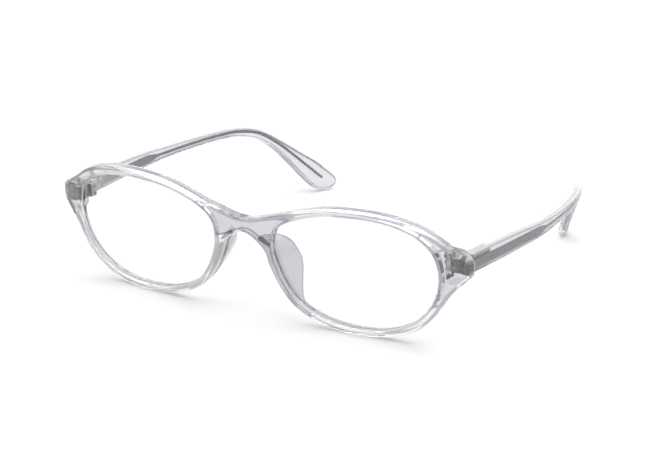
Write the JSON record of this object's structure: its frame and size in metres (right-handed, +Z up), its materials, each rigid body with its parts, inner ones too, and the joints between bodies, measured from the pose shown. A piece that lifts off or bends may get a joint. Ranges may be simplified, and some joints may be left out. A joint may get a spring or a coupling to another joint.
{
  "type": "eyeglasses",
  "caption": "Clear full-rim eyeglasses with soft oval lenses, fixed nose pads and folding temples with a metal core.",
  "frame": {"origin": "on the surface that the glasses stand on, under the middle of their bounding box", "axes": "+X to the wearer's left, +Y from the front back along the temples, +Z up"},
  "size_m": [0.1422, 0.1362, 0.0389],
  "materials": {
    "clear_plastic": "polished, crystal clear",
    "pad_plastic": "polished, clear",
    "lens": "clear optical plastic",
    "hinge_metal": "bright turned nickel silver",
    "screw_metal": "bright",
    "core_metal": "drawn and flattened wire"
  },
  "bodies": {
    "frame_front": {"front": "clear_plastic", "lens_left": "lens", "lens_right": "lens", "nose_pad_left": "pad_plastic", "nose_pad_right": "pad_plastic", "front_hinge_left": "hinge_metal", "front_hinge_right": "hinge_metal", "hinge_screw_left": "screw_metal", "hinge_screw_right": "screw_metal"},
    "left_arm": {"temple_left": "clear_plastic", "core_wire_left": "core_metal", "temple_hinge_left": "hinge_metal"},
    "right_arm": {"temple_right": "clear_plastic", "core_wire_right": "core_metal", "temple_hinge_right": "hinge_metal"}
  },
  "joints": [
    {"name": "left_temple_fold", "type": "hinge", "parent": "frame_front", "child": "left_arm", "pos_m": [0.06295, -0.05237, 0.02567], "axis": [0, 0, 1], "range_deg": [0, 82]},
    {"name": "right_temple_fold", "type": "hinge", "parent": "frame_front", "child": "right_arm", "pos_m": [-0.06295, -0.05237, 0.02567], "axis": [0, 0, -1], "range_deg": [0, 75]}
  ]
}
